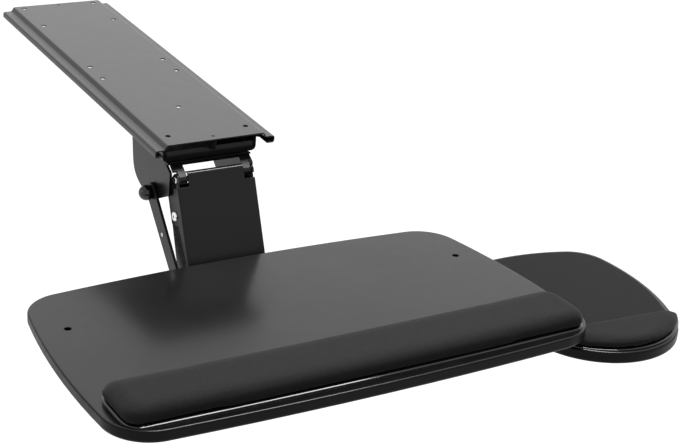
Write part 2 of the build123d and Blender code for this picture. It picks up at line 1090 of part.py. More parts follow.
# Keyboard tray
with BuildPart() as keyboard_tray:
    with BuildSketch(tray_plane(-tray_thickness)):
        with BuildLine():
            ThreePointArc(
                (-tray_rear_half, tray_rear_side),
                (0, tray_rear),
                (tray_rear_half, tray_rear_side),
            )
            ThreePointArc(
                (tray_rear_half, tray_rear_side),
                (tray_mid_half, tray_mid_w),
                (tray_front_half, tray_front_side),
            )
            ThreePointArc(
                (tray_front_half, tray_front_side),
                (0, tray_front),
                (-tray_front_half, tray_front_side),
            )
            ThreePointArc(
                (-tray_front_half, tray_front_side),
                (-tray_mid_half, tray_mid_w),
                (-tray_rear_half, tray_rear_side),
            )
        make_face()
        rear_corners = vertices().group_by(Axis.Y)[-1]
        fillet(rear_corners, radius=tray_rear_corner)
        front_corners = vertices().group_by(Axis.Y)[0]
        fillet(front_corners, radius=tray_front_corner)
    extrude(amount=tray_thickness)
    fillet(faces().sort_by(tray_axis)[-1].edges(), radius=tray_top_edge)
    fillet(faces().sort_by(tray_axis)[0].edges(), radius=tray_bottom_edge)
    discs(tray_plane(0), pivot_points, pivot_hole, -pivot_bore_depth, Mode.SUBTRACT)
    discs(
        tray_plane(-tray_thickness),
        pivot_points,
        pivot_radius + seat_gap,
        tray_thickness,
        Mode.SUBTRACT,
    )
    discs(
        tray_plane(-tray_thickness),
        head_screw_points,
        head_screw_radius + seat_gap,
        head_screw_depth + seat_gap,
        Mode.SUBTRACT,
    )

# Palm rest of the keyboard tray
with BuildPart() as palm_base:
    with BuildSketch(tray_plane(0)):
        palm_outline(0)
    extrude(amount=palm_base_thickness)

with BuildPart() as palm_pad:
    for rise, inset in palm_sections:
        with BuildSketch(tray_plane(palm_base_thickness + rise)):
            palm_outline(inset)
    loft()

# Bolt, spacer, washer and nut that carry the mouse tray
with BuildPart() as mouse_bolt:
    discs(
        tray_plane(-pivot_bore_depth),
        pivot_point,
        pivot_head_radius,
        pivot_head_height,
    )
    hexagons(
        tray_plane(-pivot_bore_depth + pivot_head_height),
        pivot_point,
        button_socket,
        -button_socket_depth,
        Mode.SUBTRACT,
    )
    discs(tray_plane(pivot_end), pivot_point, pivot_radius, -pivot_bore_depth - pivot_end)

with BuildPart() as mouse_spacer:
    rings(
        tray_plane(-tray_thickness),
        pivot_point,
        spacer_tube_radius,
        pivot_radius + seat_gap,
        mouse_floor + tray_thickness + slide_gap,
    )

with BuildPart() as mouse_pivot_washer:
    rings(
        tray_plane(bar_floor - slide_gap),
        pivot_point,
        pivot_washer_radius,
        pivot_radius + seat_gap,
        -pivot_washer_thickness,
    )

with BuildPart() as mouse_nut:
    hexagons(tray_plane(pivot_nut_top), pivot_point, pivot_nut_flat, -pivot_nut_height)
    discs(
        tray_plane(pivot_nut_top),
        pivot_point,
        pivot_radius + seat_gap,
        -pivot_nut_height,
        Mode.SUBTRACT,
    )

# Mouse tray
with BuildPart() as mouse_arm:
    with BuildSketch(tray_plane(bar_floor)):
        with Locations(*pivot_point, bar_end):
            Circle(bar_half)
        make_hull()
    extrude(amount=bar_sheet)
    discs(
        tray_plane(bar_floor),
        pivot_point,
        pivot_radius + running_fit,
        bar_sheet,
        Mode.SUBTRACT,
    )
    discs(
        tray_plane(bar_floor),
        bar_screw_points,
        head_screw_radius + seat_gap,
        bar_sheet,
        Mode.SUBTRACT,
    )

with BuildPart() as mouse_arm_screws:
    discs(tray_plane(bar_floor), bar_screw_points, pan_head_radius, -pan_head_height)
    fillet(edges().group_by(tray_axis)[0], radius=pan_head_height / 2)
    discs(
        tray_plane(bar_floor),
        bar_screw_points,
        head_screw_radius,
        bar_sheet + bar_screw_depth,
    )

with BuildPart() as mouse_tray:
    with BuildSketch(mouse_plane(mouse_floor)):
        mouse_outline(0)
    extrude(amount=mouse_thickness)
    fillet(faces().sort_by(tray_axis)[-1].edges(), radius=mouse_edge)
    fillet(faces().sort_by(tray_axis)[0].edges(), radius=mouse_edge)
    discs(
        tray_plane(mouse_floor),
        bar_screw_points,
        head_screw_radius + seat_gap,
        bar_screw_depth + seat_gap,
        Mode.SUBTRACT,
    )

with BuildPart() as mouse_mat:
    with BuildSketch(mouse_plane(mouse_top)):
        mouse_outline(mat_inset)
    extrude(amount=mat_thickness)
    with BuildSketch(mouse_plane(mouse_top)):
        with Locations((0, mouse_palm_chord + mat_gap)):
            Rectangle(
                2 * mouse_mid_half,
                mouse_rear - mouse_front,
                align=(Align.CENTER, Align.MAX),
            )
    extrude(amount=mat_thickness, mode=Mode.SUBTRACT)

with BuildPart() as mouse_palm_base:
    with BuildSketch(mouse_plane(mouse_top)):
        mouse_palm(0)
    extrude(amount=mouse_palm_base_thickness)

with BuildPart() as mouse_palm_pad:
    for rise, inset in mouse_palm_sections:
        with BuildSketch(mouse_plane(mouse_top + mouse_palm_base_thickness + rise)):
            mouse_palm(inset)
    loft()

pieces = {
    "track": track,
    "track_stops": track_stops,
    "stop_screws": stop_screws,
    "carriage_pan": carriage_pan,
    "carriage_glides": carriage_glides,
    "swivel_bolt": swivel_bolt,
    "swivel_washers": swivel_washers,
    "swivel_nut": swivel_nut,
    "swivel_bracket": swivel_bracket,
    "hinge_pin": hinge_pin,
    "arm_channel": arm_channel,
    "arm_cover": arm_cover,
    "cover_screws": cover_screws,
    "tilt_pin": tilt_pin,
    "tilt_nut": tilt_nut,
    "tilt_washers": tilt_washers,
    "ear_washers": ear_washers,
    "lever_spacer": lever_spacer,
    "release_lever": release_lever,
    "ball_knob": ball_knob,
    "knob_stud": knob_stud,
    "lever_rivet": lever_rivet,
    "tilt_sleeve": tilt_sleeve,
    "tray_head": tray_head,
    "head_screws": head_screws,
    "keyboard_tray": keyboard_tray,
    "palm_base": palm_base,
    "palm_pad": palm_pad,
    "mouse_bolt": mouse_bolt,
    "mouse_spacer": mouse_spacer,
    "mouse_pivot_washer": mouse_pivot_washer,
    "mouse_nut": mouse_nut,
    "mouse_arm": mouse_arm,
    "mouse_arm_screws": mouse_arm_screws,
    "mouse_tray": mouse_tray,
    "mouse_mat": mouse_mat,
    "mouse_palm_base": mouse_palm_base,
    "mouse_palm_pad": mouse_palm_pad,
}
os.makedirs("parts", exist_ok=True)
for name, piece in pieces.items():
    piece.part.label = name
    export_step(piece.part, "parts/" + name + ".step")
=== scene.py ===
import json
from math import atan2, cos, radians, sin

import bpy
import numpy as np
from mathutils import Matrix, Quaternion, Vector


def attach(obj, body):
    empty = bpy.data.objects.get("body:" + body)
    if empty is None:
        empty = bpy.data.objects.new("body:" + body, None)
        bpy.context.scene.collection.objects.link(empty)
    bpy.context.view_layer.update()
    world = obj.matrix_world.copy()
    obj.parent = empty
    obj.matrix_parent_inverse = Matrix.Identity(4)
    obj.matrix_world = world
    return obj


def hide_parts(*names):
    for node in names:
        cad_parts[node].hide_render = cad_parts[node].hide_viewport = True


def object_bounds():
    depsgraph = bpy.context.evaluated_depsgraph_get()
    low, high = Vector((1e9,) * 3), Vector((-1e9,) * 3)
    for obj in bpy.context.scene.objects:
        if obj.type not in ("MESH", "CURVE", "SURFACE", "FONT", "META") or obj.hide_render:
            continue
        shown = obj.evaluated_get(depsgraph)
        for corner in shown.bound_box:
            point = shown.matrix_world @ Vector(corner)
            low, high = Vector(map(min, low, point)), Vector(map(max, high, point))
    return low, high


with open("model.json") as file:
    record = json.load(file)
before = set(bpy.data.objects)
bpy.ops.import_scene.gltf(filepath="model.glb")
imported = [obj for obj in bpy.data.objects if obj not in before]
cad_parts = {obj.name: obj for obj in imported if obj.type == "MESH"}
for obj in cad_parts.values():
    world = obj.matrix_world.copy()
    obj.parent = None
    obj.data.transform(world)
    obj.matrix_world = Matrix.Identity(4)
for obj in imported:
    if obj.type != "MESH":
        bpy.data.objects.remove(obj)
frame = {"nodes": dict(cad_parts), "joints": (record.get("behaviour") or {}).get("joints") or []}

cad_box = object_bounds()

MM = 0.001

# Camera: where it stands, where it looks, how it leans and how far it sees
CAMERA_PLACE = (-0.7546, -1.6519, 0.6834)
CAMERA_BEARING = radians(32.953)
CAMERA_DROP = radians(25.551)
CAMERA_LEAN = radians(5.971)
CAMERA_LENS = 87.24
CAMERA_SENSOR = 36
CAMERA_NEAR = 0.05
CAMERA_FAR = 60

# Studio: a floor far below the tray, and the light that fills the room
FLOOR_DROP = 0.72
FLOOR_SIZE = 14.0
FLOOR_LEVEL = 0.3
FLOOR_ROUGHNESS = 0.9
FLOOR_GLOW = 1.0
ROOM_FILL = 0.14

# Soft lamps: the place of each, its aim, its size and its power in watts
LAMPS = {
    "top_lamp": ((0.42, -0.25, 1.6), (0.2, -0.25, 0), (0.62, 1.0), 29),
    "left_lamp": ((-2.2, 0.2, 0.7), (0, -0.2, 0), (1.0, 1.0), 4),
}

# Palm rest of the keyboard tray, its cover and its base
PALM_HEIGHT = 16.2 * MM
PALM_BOW = 4 * MM
PALM_BOW_CUTS = 31
PALM_CORNER = 22 * MM
PALM_COVER_CORNER = 19 * MM
PALM_CROWN = 6.5 * MM
PALM_VOXEL = 3.6 * MM
PALM_SWELL = 1.6 * MM
PALM_FRONT_INSET = 1 * MM
PALM_REAR_INSET = 0.6 * MM
PALM_END_INSET = -1.2 * MM
PALM_REAR_FALL = 0.42
PALM_REAR_REACH = 26 * MM
PALM_END_FALL = 0.3
PALM_END_REACH = 16 * MM

# Palm rest of the mouse tray
MOUSE_TURN = radians(-4.3)
MOUSE_PALM_HEIGHT = 10.4 * MM
MOUSE_PALM_HALF = 84 * MM
MOUSE_PALM_SIDES = 128
MOUSE_PALM_CORNER = 24 * MM
MOUSE_PALM_CROWN = 5 * MM
MOUSE_PALM_VOXEL = 2.3 * MM
MOUSE_PALM_SWELL = 1.1 * MM
MOUSE_PALM_INSET = 1.1 * MM
MOUSE_PALM_END_FALL = 0.65
MOUSE_PALM_END_REACH = 26 * MM
MOUSE_PALM_REAR_FALL = 0.25
MOUSE_PALM_REAR_REACH = 10 * MM

# Glossy bases: a low plate whose upper rim slopes to the outside
LIP_SIDE = 0.9 * MM
LIP_SLOPE_WIDTH = 3.6 * MM
LIP_SLOPE_RISE = 1.4 * MM
LIP_ROUND = 0.35 * MM

# The covers stand on the bases, sunk a little into their tops
COVER_SINK = 1.5 * MM
FOAM_SEAT = LIP_SIDE + LIP_SLOPE_RISE - COVER_SINK

# Stuffing of the covers, and how steeply their tops fall off near a side
STUFFING_PRESSURE = 4.0
STUFFING_FRAMES = 20
SMOOTHING = 0.5
SMOOTHING_ROUNDS = 6
FALL_CURVE = 2.2

# Modelling: how near two places count as one, a length that stands for none, which
# faces count as level or upright by their normals, and where shading stays smooth
SLACK = 0.1 * MM
TINY = 1e-9
LEVEL_FACE = 0.9
WALL_FACE = 0.3
SMOOTH_ANGLE = radians(40)

# Relief: the paint's orange peel, the lines of drawn metal with their stretch, and
# the knit with the height of its pile against its loops
PEEL_DEPTH = 0.05 * MM
DRAWN_DEPTH = 0.02 * MM
DRAWN_STRETCH = (1.0, 30.0, 30.0)
KNIT_DEPTH = 0.15 * MM
KNIT_PILE = 0.7

# Looks: the hint of blue in every grey, the shine of cloth, the samples of a soft edge
COOLNESS = 1.02
CLOTH_SPECULAR = 0.25
CLOTH_SHEEN_ROUGHNESS = 0.5
EDGE_SAMPLES = 6


# Tools for modelling by hand


def start_clean():
    if bpy.context.object and bpy.context.object.mode != "OBJECT":
        bpy.ops.object.mode_set(mode="OBJECT")
    bpy.ops.object.select_all(action="DESELECT")


def take(piece):
    start_clean()
    piece.select_set(True)
    bpy.context.view_layer.objects.active = piece


def fix_place(piece):
    take(piece)
    bpy.ops.object.transform_apply(location=True, rotation=True, scale=True)


def pick(piece, kind, test):
    """Selects the faces or edges of a piece that pass a test, in edit mode."""
    take(piece)
    mesh = piece.data
    for items in (mesh.vertices, mesh.edges, mesh.polygons):
        items.foreach_set("select", [False] * len(items))
    for item in getattr(mesh, kind):
        item.select = bool(test(item))
    bpy.context.tool_settings.mesh_select_mode = (False, kind == "edges", kind == "polygons")
    bpy.ops.object.mode_set(mode="EDIT")


def finish_edit():
    bpy.ops.object.mode_set(mode="OBJECT")


def round_edges(piece, test, width, segments):
    """Rounds the edges of a piece that pass a test."""
    pick(piece, "edges", test)
    bpy.ops.mesh.bevel(offset=width, segments=segments, affect="EDGES", clamp_overlap=False)
    finish_edit()


def edge_ends(piece, edge):
    return [piece.data.vertices[i].co for i in edge.vertices]


def upright(piece, edge):
    a, b = edge_ends(piece, edge)
    return abs(a.x - b.x) < SLACK and abs(a.y - b.y) < SLACK


def straight_across(piece, edge):
    a, b = edge_ends(piece, edge)
    return abs(a.y - b.y) < SLACK and abs(a.z - b.z) < SLACK


def at_height(piece, edge, height):
    return all(abs(end.z - height) < SLACK for end in edge_ends(piece, edge))


def beside_wall(piece, edge):
    """Whether an edge lies between an upright wall and a flatter face."""
    key = edge.key
    slopes = [abs(face.normal.z) for face in piece.data.polygons if key in face.edge_keys]
    return min(slopes) < WALL_FACE < max(slopes)


def apply_modifier(piece, kind, **settings):
    take(piece)
    modifier = piece.modifiers.new(kind.lower(), kind)
    for key, value in settings.items():
        setattr(modifier, key, value)
    bpy.ops.object.modifier_apply(modifier=modifier.name)


def coordinates(piece):
    places = np.zeros(len(piece.data.vertices) * 3)
    piece.data.vertices.foreach_get("co", places)
    return places.reshape(-1, 3)


def set_coordinates(piece, places):
    piece.data.vertices.foreach_set("co", places.ravel())
    piece.data.update()


# The trays' own axes: across, to the rear and up, read from the mouse tray's pivot

mouse_swing = next(joint for joint in frame["joints"] if joint["name"] == "mouse_swing")
tray_up = Vector(mouse_swing["axis"]).normalized()
tray_turn = Matrix.Rotation(-atan2(tray_up.y, tray_up.z), 4, "X")
mouse_turn = tray_turn @ Matrix.Rotation(MOUSE_TURN, 4, "Z")


def span_in(node, turn):
    """Lowest and highest corner of a node, in axes turned from the frame's."""
    local = coordinates(frame["nodes"][node]) @ np.array(turn.to_3x3())
    return Vector(local.min(0)), Vector(local.max(0))


def seat(piece, turn, low, high, lift=0.0):
    """Takes a piece that was modelled flat at the origin to its place on a tray."""
    take(piece)
    bpy.ops.object.mode_set(mode="EDIT")
    bpy.ops.mesh.select_all(action="SELECT")
    bpy.ops.mesh.normals_make_consistent(inside=False)
    finish_edit()
    middle = Vector(((low.x + high.x) / 2, (low.y + high.y) / 2, low.z + lift))
    piece.data.transform(Matrix.Translation(turn @ middle) @ turn)
    piece.data.update()


# Shader nodes


def node_in(tree, kind, **settings):
    node = tree.nodes.new(kind)
    for key, value in settings.items():
        setattr(node, key, value)
    return node


def feed(tree, socket, value):
    """Links a socket to what another node puts out, or gives it a plain value."""
    if isinstance(value, bpy.types.NodeSocket):
        tree.links.new(value, socket)
    else:
        socket.default_value = value


def math_node(tree, operation, a, b):
    node = node_in(tree, "ShaderNodeMath", operation=operation)
    feed(tree, node.inputs[0], a)
    feed(tree, node.inputs[1], b)
    return node.outputs["Value"]


def noise_node(tree, place, scale, detail, roughness):
    node = node_in(tree, "ShaderNodeTexNoise")
    feed(tree, node.inputs["Vector"], place)
    feed(tree, node.inputs["Scale"], scale)
    feed(tree, node.inputs["Detail"], detail)
    feed(tree, node.inputs["Roughness"], roughness)
    return node.outputs["Fac"]


def span_node(tree, value, low, high, to_low, to_high):
    """Carries a value from one span over to another, and holds it within that."""
    node = node_in(tree, "ShaderNodeMapRange")
    feed(tree, node.inputs["Value"], value)
    feed(tree, node.inputs["From Min"], low)
    feed(tree, node.inputs["From Max"], high)
    feed(tree, node.inputs["To Min"], to_low)
    feed(tree, node.inputs["To Max"], to_high)
    return node.outputs["Result"]


def blend_node(tree, a, b, share):
    """Adds two values, with the first one's share of the whole."""
    part_a = math_node(tree, "MULTIPLY", a, share)
    part_b = math_node(tree, "MULTIPLY", b, 1 - share)
    return math_node(tree, "ADD", part_a, part_b)


def tone_node(tree, colour, factor):
    """A colour made lighter or darker by a factor that varies over the surface."""
    node = node_in(tree, "ShaderNodeVectorMath", operation="SCALE")
    feed(tree, node.inputs[0], colour)
    feed(tree, node.inputs["Scale"], factor)
    return node.outputs["Vector"]


# Shader groups

SURFACE_OUTPUTS = (
    ("Colour", "NodeSocketColor"),
    ("Roughness", "NodeSocketFloat"),
    ("Height", "NodeSocketFloat"),
)


def shader_group(name, inputs, outputs):
    group = bpy.data.node_groups.new(name, "ShaderNodeTree")
    for label, kind, value in inputs:
        socket = group.interface.new_socket(name=label, in_out="INPUT", socket_type=kind)
        socket.default_value = value
    for label, kind in outputs:
        group.interface.new_socket(name=label, in_out="OUTPUT", socket_type=kind)
    return group, group.nodes.new("NodeGroupInput"), group.nodes.new("NodeGroupOutput")


def put_out(group, out, colour, roughness, height):
    feed(group, out.inputs["Colour"], colour)
    feed(group, out.inputs["Roughness"], roughness)
    feed(group, out.inputs["Height"], height)


def powder_coat_group():
    """Baked powder coat: fine orange peel, faint clouding and uneven gloss."""
    group, given, out = shader_group(
        "powder_coat",
        (
            ("Colour", "NodeSocketColor", (0.03, 0.03, 0.03, 1)),
            ("Grain", "NodeSocketFloat", 900.0),
            ("Smoothest", "NodeSocketFloat", 0.3),
            ("Dullest", "NodeSocketFloat", 0.45),
        ),
        SURFACE_OUTPUTS,
    )
    place = node_in(group, "ShaderNodeTexCoord").outputs["Object"]
    peel = noise_node(group, place, given.outputs["Grain"], detail=2.0, roughness=0.45)
    clouds = noise_node(group, place, scale=14.0, detail=4.0, roughness=0.6)
    rub = noise_node(group, place, scale=60.0, detail=5.0, roughness=0.65)
    clouding = span_node(group, clouds, low=0.3, high=0.7, to_low=0.9, to_high=1.12)
    wear = blend_node(group, clouds, rub, share=0.6)
    roughness = span_node(
        group, wear, low=0.35, high=0.65,
        to_low=given.outputs["Smoothest"], to_high=given.outputs["Dullest"],
    )
    put_out(group, out, tone_node(group, given.outputs["Colour"], clouding), roughness, peel)
    return group


def soft_edge_group():
    """Rounds off the look of sharp edges."""
    group, given, out = shader_group(
        "soft_edge",
        (("Width", "NodeSocketFloat", 0.6 * MM),),
        (("Normal", "NodeSocketVector"),),
    )
    bevel = node_in(group, "ShaderNodeBevel", samples=EDGE_SAMPLES)
    feed(group, bevel.inputs["Radius"], given.outputs["Width"])
    feed(group, out.inputs["Normal"], bevel.outputs["Normal"])
    return group


def knit_group():
    """Fine stretch knit: rows of loops, a soft pile and faint mottling."""
    group, given, out = shader_group(
        "fine_knit",
        (
            ("Colour", "NodeSocketColor", (0.04, 0.04, 0.04, 1)),
            ("Rows", "NodeSocketFloat", 700.0),
            ("Mottle", "NodeSocketFloat", 0.2),
        ),
        SURFACE_OUTPUTS,
    )
    place = node_in(group, "ShaderNodeTexCoord").outputs["Object"]
    rows = []
    for direction in ("X", "Y"):
        wave = node_in(group, "ShaderNodeTexWave", wave_type="BANDS", bands_direction=direction)
        feed(group, wave.inputs["Vector"], place)
        feed(group, wave.inputs["Scale"], given.outputs["Rows"])
        feed(group, wave.inputs["Distortion"], 1.5)
        feed(group, wave.inputs["Detail"], 1.0)
        feed(group, wave.inputs["Detail Scale"], 2.0)
        rows.append(wave.outputs["Fac"])
    loops = math_node(group, "MULTIPLY", *rows)
    fuzz = noise_node(group, place, scale=1500.0, detail=2.0, roughness=0.6)
    patches = noise_node(group, place, scale=300.0, detail=4.0, roughness=0.6)
    height = math_node(group, "ADD", loops, math_node(group, "MULTIPLY", fuzz, KNIT_PILE))
    mottling = span_node(
        group, blend_node(group, patches, fuzz, share=0.6), low=0.35, high=0.65,
        to_low=math_node(group, "SUBTRACT", 1.0, given.outputs["Mottle"]),
        to_high=math_node(group, "ADD", 1.0, given.outputs["Mottle"]),
    )
    roughness = span_node(group, patches, low=0.3, high=0.7, to_low=0.82, to_high=0.95)
    put_out(group, out, tone_node(group, given.outputs["Colour"], mottling), roughness, height)
    return group


def drawn_metal_group():
    """Bright metal with fine lines left by drawing and rolling, and dull patches."""
    group, given, out = shader_group(
        "drawn_metal",
        (
            ("Colour", "NodeSocketColor", (0.6, 0.6, 0.6, 1)),
            ("Smoothest", "NodeSocketFloat", 0.15),
            ("Dullest", "NodeSocketFloat", 0.35),
        ),
        SURFACE_OUTPUTS,
    )
    place = node_in(group, "ShaderNodeTexCoord").outputs["Object"]
    stretch = node_in(group, "ShaderNodeMapping")
    feed(group, stretch.inputs["Vector"], place)
    feed(group, stretch.inputs["Scale"], DRAWN_STRETCH)
    lines = noise_node(group, stretch.outputs["Vector"], scale=60.0, detail=3.0, roughness=0.6)
    patches = noise_node(group, place, scale=160.0, detail=3.0, roughness=0.6)
    dulling = span_node(group, patches, low=0.3, high=0.7, to_low=0.85, to_high=1.05)
    roughness = span_node(
        group, patches, low=0.3, high=0.7,
        to_low=given.outputs["Smoothest"], to_high=given.outputs["Dullest"],
    )
    put_out(group, out, tone_node(group, given.outputs["Colour"], dulling), roughness, lines)
    return group


POWDER = powder_coat_group()
SOFT_EDGE = soft_edge_group()
KNIT = knit_group()
DRAWN = drawn_metal_group()


# Materials


def grey(level):
    return (level, level, level * COOLNESS, 1.0)


def new_material(name, specular=0.5, metallic=0.0):
    material = bpy.data.materials.new(name)
    material.use_nodes = True
    tree = material.node_tree
    shader = tree.nodes["Principled BSDF"]
    shader.inputs["Specular IOR Level"].default_value = specular
    shader.inputs["Metallic"].default_value = metallic
    return material, tree, shader


def place_group(tree, group, **values):
    node = node_in(tree, "ShaderNodeGroup", node_tree=group)
    for label, value in values.items():
        feed(tree, node.inputs[label], value)
    return node


def finish_surface(tree, shader, surface, bump, depth, edge_width=None):
    """Joins a surface group to the shader, with its relief and its rounded edges."""
    feed(tree, shader.inputs["Base Color"], surface.outputs["Colour"])
    feed(tree, shader.inputs["Roughness"], surface.outputs["Roughness"])
    relief = node_in(tree, "ShaderNodeBump")
    feed(tree, relief.inputs["Strength"], bump)
    feed(tree, relief.inputs["Distance"], depth)
    feed(tree, relief.inputs["Height"], surface.outputs["Height"])
    if edge_width:
        edge = place_group(tree, SOFT_EDGE, Width=edge_width)
        feed(tree, relief.inputs["Normal"], edge.outputs["Normal"])
    feed(tree, shader.inputs["Normal"], relief.outputs["Normal"])


def coated(name, level, rough, grain, bump, specular, edge_width=None):
    """Painted steel or moulded plastic, with its roughness between two values."""
    material, tree, shader = new_material(name, specular)
    surface = place_group(
        tree, POWDER, Colour=grey(level), Grain=grain, Smoothest=rough[0], Dullest=rough[1],
    )
    finish_surface(tree, shader, surface, bump, PEEL_DEPTH, edge_width)
    return material


def polished(name, gloss, gloss_rough, **finish):
    """A coated piece under a clear gloss."""
    material = coated(name, **finish)
    shader = material.node_tree.nodes["Principled BSDF"]
    shader.inputs["Coat Weight"].default_value = gloss
    shader.inputs["Coat Roughness"].default_value = gloss_rough
    return material


def faced(name, face_up, gloss, gloss_rough, facing_span=(0.74, 0.88), **finish):
    """A coated piece whose faces towards one side are glossier than its rims."""
    material = polished(name, gloss, gloss_rough, **finish)
    tree = material.node_tree
    surface = node_in(tree, "ShaderNodeNewGeometry")
    facing = node_in(tree, "ShaderNodeVectorMath", operation="DOT_PRODUCT")
    feed(tree, facing.inputs[0], surface.outputs["Normal"])
    feed(tree, facing.inputs[1], face_up)
    weight = span_node(tree, facing.outputs["Value"], *facing_span, to_low=0.0, to_high=gloss)
    feed(tree, tree.nodes["Principled BSDF"].inputs["Coat Weight"], weight)
    return material


def bright_metal(name, level, rough, bump, edge_width):
    material, tree, shader = new_material(name, metallic=1.0)
    surface = place_group(
        tree, DRAWN, Colour=grey(level), Smoothest=rough[0], Dullest=rough[1],
    )
    finish_surface(tree, shader, surface, bump, DRAWN_DEPTH, edge_width)
    return material


def cloth(name, level, rows, mottle, bump, sheen):
    material, tree, shader = new_material(name, CLOTH_SPECULAR)
    shader.inputs["Sheen Weight"].default_value = sheen
    shader.inputs["Sheen Roughness"].default_value = CLOTH_SHEEN_ROUGHNESS
    surface = place_group(tree, KNIT, Colour=grey(level), Rows=rows, Mottle=mottle)
    finish_surface(tree, shader, surface, bump, KNIT_DEPTH)
    return material


TRACK_STEEL = faced(
    "track_steel", face_up=(0, 0, 1), gloss=0.75, gloss_rough=0.26, level=0.025,
    rough=(0.34, 0.42), grain=1100.0, bump=0.25, specular=0.5, edge_width=0.5 * MM,
)
BRACKET_STEEL = coated(
    "bracket_steel", level=0.012, rough=(0.22, 0.3), grain=1000.0, bump=0.05,
    specular=0.22, edge_width=0.5 * MM,
)
COVER_STEEL = faced(
    "cover_steel", face_up=(0, -0.45, 0.89), gloss=1.0, gloss_rough=0.2,
    facing_span=(0.9, 0.99), level=0.008, rough=(0.3, 0.42), grain=1500.0, bump=0.3,
    specular=0.22, edge_width=0.7 * MM,
)
LEVER_STEEL = coated(
    "lever_steel", level=0.013, rough=(0.26, 0.36), grain=1000.0, bump=0.08,
    specular=0.17, edge_width=0.6 * MM,
)
TRAY_BOARD = faced(
    "tray_board", face_up=tray_up, gloss=0.66, gloss_rough=0.17, level=0.004,
    rough=(0.3, 0.42), grain=2200.0, bump=0.2, specular=0.12,
)
BASE_GLOSS = polished(
    "base_gloss", gloss=0.5, gloss_rough=0.07, level=0.008, rough=(0.06, 0.12),
    grain=700.0, bump=0.03, specular=0.3,
)
KNOB_GLOSS = coated(
    "knob_gloss", level=0.008, rough=(0.08, 0.14), grain=700.0, bump=0.03, specular=0.5,
)
SPACER_PLASTIC = coated(
    "spacer_plastic", level=0.015, rough=(0.4, 0.5), grain=1600.0, bump=0.3,
    specular=0.4, edge_width=0.4 * MM,
)
NYLON = coated(
    "nylon", level=0.02, rough=(0.45, 0.55), grain=1600.0, bump=0.2,
    specular=0.4, edge_width=0.3 * MM,
)
RUBBER = coated(
    "rubber", level=0.006, rough=(0.6, 0.75), grain=1200.0, bump=0.4,
    specular=0.15, edge_width=0.4 * MM,
)
ZINC = bright_metal("zinc", level=0.55, rough=(0.25, 0.4), bump=0.3, edge_width=0.3 * MM)
CHROME = bright_metal("chrome", level=0.8, rough=(0.08, 0.18), bump=0.05, edge_width=0.3 * MM)
PALM_CLOTH = cloth("palm_cloth", level=0.0205, rows=520.0, mottle=0.5, bump=0.4, sheen=0.1)
MAT_CLOTH = cloth("mat_cloth", level=0.0145, rows=620.0, mottle=0.3, bump=0.5, sheen=0.08)

FINISHES = (
    (TRACK_STEEL, ("track",)),
    (COVER_STEEL, ("arm_cover",)),
    (LEVER_STEEL, ("release_lever",)),
    (BRACKET_STEEL, (
        "carriage_pan", "swivel_bracket", "arm_channel", "tray_head", "mouse_arm",
        "lever_spacer", "stop_screws",
    )),
    (ZINC, (
        "swivel_bolt", "swivel_nut", "tilt_pin", "tilt_nut", "tilt_sleeve", "knob_stud",
        "lever_rivet", "head_screws", "mouse_bolt", "mouse_nut", "mouse_arm_screws",
    )),
    (CHROME, ("hinge_pin", "cover_screws")),
    (KNOB_GLOSS, ("ball_knob",)),
    (RUBBER, ("track_stops",)),
    (NYLON, (
        "carriage_glides", "swivel_washers", "tilt_washers", "ear_washers",
        "mouse_pivot_washer",
    )),
    (SPACER_PLASTIC, ("mouse_spacer",)),
    (TRAY_BOARD, ("keyboard_tray", "mouse_tray")),
    (MAT_CLOTH, ("mouse_mat",)),
)


def dress(piece, material):
    piece.data.materials.clear()
    piece.data.materials.append(material)


for material, nodes in FINISHES:
    for node in nodes:
        dress(frame["nodes"][node], material)


# Glossy bases and stuffed covers of the palm rests


def long_plate(name, low, high, height, corner_run):
    """A closed plate, flat at the origin: round corners, long sides bowed to the front."""
    start_clean()
    size = Vector((high.x - low.x, high.y - low.y - PALM_BOW, height))
    bpy.ops.mesh.primitive_cube_add(
        size=1, location=(0, PALM_BOW / 2, height / 2), scale=size,
    )
    piece = bpy.context.object
    piece.name = name
    fix_place(piece)
    pick(piece, "edges", lambda edge: straight_across(piece, edge))
    bpy.ops.mesh.subdivide(number_cuts=PALM_BOW_CUTS)
    finish_edit()
    placed = coordinates(piece)
    reach = placed[:, 0] / (size.x / 2)
    placed[:, 1] -= PALM_BOW * (1 - reach * reach)
    set_coordinates(piece, placed)
    ends = size.x / 2 - SLACK
    round_edges(
        piece,
        lambda edge: upright(piece, edge) and abs(edge_ends(piece, edge)[0].x) > ends,
        corner_run, segments=12,
    )
    return piece


def half_moon(name, low, high, inset, height):
    """A closed plate with a straight rear side and a round front, flat at the origin."""
    half = MOUSE_PALM_HALF - inset
    depth = high.y - low.y - 2 * inset
    radius = (half * half + depth * depth) / (2 * depth)
    start_clean()
    bpy.ops.mesh.primitive_cylinder_add(
        vertices=MOUSE_PALM_SIDES, radius=radius, depth=height,
        location=(0, radius - depth / 2, height / 2),
    )
    piece = bpy.context.object
    piece.name = name
    fix_place(piece)
    pick(piece, "polygons", lambda face: True)
    bpy.ops.mesh.bisect(
        plane_co=(0, depth / 2, 0), plane_no=(0, 1, 0), use_fill=True, clear_outer=True,
    )
    finish_edit()
    rear = depth / 2 - SLACK
    round_edges(
        piece,
        lambda edge: upright(piece, edge) and edge_ends(piece, edge)[0].y > rear,
        MOUSE_PALM_CORNER, segments=8,
    )
    return piece


